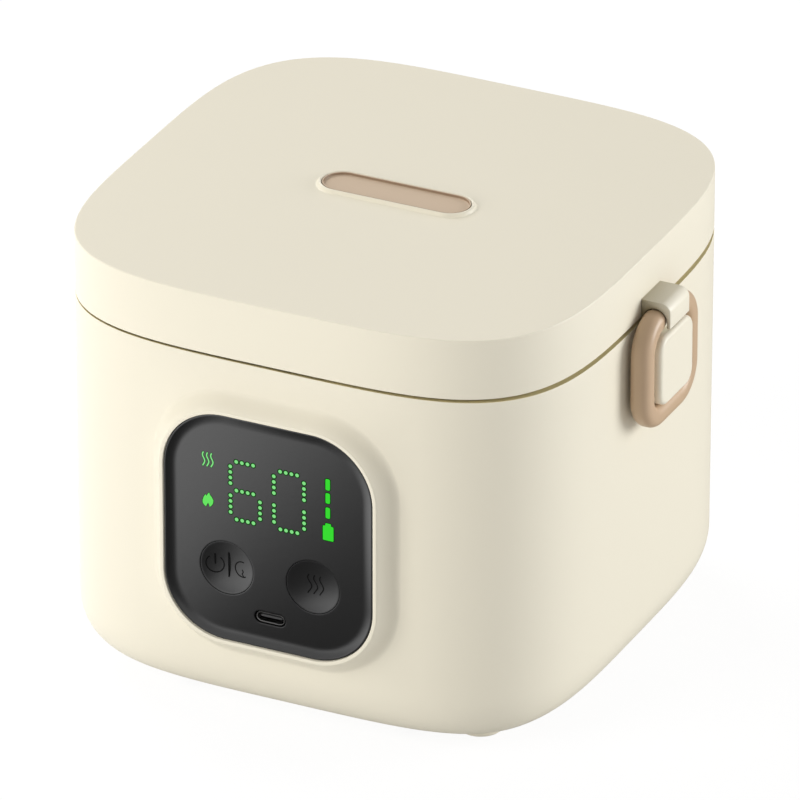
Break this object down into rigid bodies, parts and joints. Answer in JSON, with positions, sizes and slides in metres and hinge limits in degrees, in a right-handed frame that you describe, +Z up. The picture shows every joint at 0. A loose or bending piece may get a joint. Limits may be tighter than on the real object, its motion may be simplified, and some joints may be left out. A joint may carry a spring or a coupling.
{
  "type": "electric lunch box",
  "caption": "Squircle electric lunch box: lift-off lid with tan inlay, heated steel well, removable food container, black front panel with keys and USB-C port, hook-and-loop side latches.",
  "frame": {"origin": "middle of the bounding box, on the table under the feet", "axes": "+X to the right seen from the front, +Y to the back, +Z up; the control panel faces -Y"},
  "size_m": [0.1782, 0.1646, 0.1368],
  "materials": {
    "cream_plastic": "satin",
    "tan_plastic": "satin",
    "panel_black": "satin",
    "white_plastic": "satin",
    "silicone": "matte",
    "well_steel": "brushed",
    "screw_steel": "satin",
    "foam": "rough",
    "plate_aluminium": "satin",
    "heater_foil": "satin",
    "dark_plastic": "matte",
    "lead_red": "satin",
    "cell_wrap": "glossy",
    "nickel": "satin",
    "circuit_green": "satin",
    "copper": "satin",
    "light_green": "glossy"
  },
  "bodies": {
    "housing": {"outer_shell": "cream_plastic", "base_plate": "cream_plastic", "foot_front_left": "cream_plastic", "foot_front_right": "cream_plastic", "foot_rear_left": "cream_plastic", "foot_rear_right": "cream_plastic", "top_ring": "cream_plastic", "latch_mount_right": "cream_plastic", "latch_mount_left": "cream_plastic", "base_screws": "screw_steel", "power_board_screws": "screw_steel", "display_board_screws": "screw_steel", "latch_screws": "screw_steel", "inner_liner": "well_steel", "control_panel": "panel_black", "insulation_sleeve": "foam", "insulation_pad": "foam", "heating_plate": "plate_aluminium", "heater_film": "heater_foil", "thermal_fuse": "dark_plastic", "battery_holder": "dark_plastic", "light_guide": "dark_plastic", "display_film": "dark_plastic", "tact_switches": "dark_plastic", "power_chips": "dark_plastic", "power_capacitors": "dark_plastic", "heater_leads": "lead_red", "cell_1": "cell_wrap", "cell_2": "cell_wrap", "cell_3": "cell_wrap", "cell_4": "cell_wrap", "nickel_strips": "nickel", "usb_c_receptacle": "nickel", "power_board": "circuit_green", "display_board": "circuit_green", "power_inductor": "copper", "ribbon_cable": "copper", "display_leds": "light_green"},
    "lid": {"lid_shell": "cream_plastic", "lid_hook_right": "cream_plastic", "lid_hook_left": "cream_plastic", "lid_screws": "screw_steel", "lid_liner": "white_plastic", "lid_gasket": "silicone", "lid_badge": "tan_plastic"},
    "pot": {"food_container": "well_steel"},
    "key_power": {"key_power": "panel_black"},
    "key_heat": {"key_heat": "panel_black"},
    "ring_right": {"ring_right": "tan_plastic"},
    "ring_left": {"ring_left": "tan_plastic"}
  },
  "joints": [
    {"name": "lid_lift", "type": "slide", "parent": "housing", "child": "lid", "axis": [0, 0, 1], "range_m": [0, 0.2]},
    {"name": "pot_lift", "type": "slide", "parent": "housing", "child": "pot", "axis": [0, 0, 1], "range_m": [0, 0.09]},
    {"name": "ring_right_swing", "type": "hinge", "parent": "housing", "child": "ring_right", "pos_m": [0.0844, 0.0023, 0.117], "axis": [0, -1, 0], "range_deg": [0, 150]},
    {"name": "ring_left_swing", "type": "hinge", "parent": "housing", "child": "ring_left", "pos_m": [-0.0844, 0.0023, 0.117], "axis": [0, 1, 0], "range_deg": [0, 150]},
    {"name": "key_power_press", "type": "slide", "parent": "housing", "child": "key_power", "axis": [0, 1, 0], "range_m": [0, 0.0004], "stiffness_N_per_m": 800, "springref_m": -0.0005},
    {"name": "key_heat_press", "type": "slide", "parent": "housing", "child": "key_heat", "axis": [0, 1, 0], "range_m": [0, 0.0004], "stiffness_N_per_m": 800, "springref_m": -0.0005}
  ],
  "couplings": [
    {"joint": "pot_lift", "follows": "lid_lift", "ratio": 0.45}
  ]
}
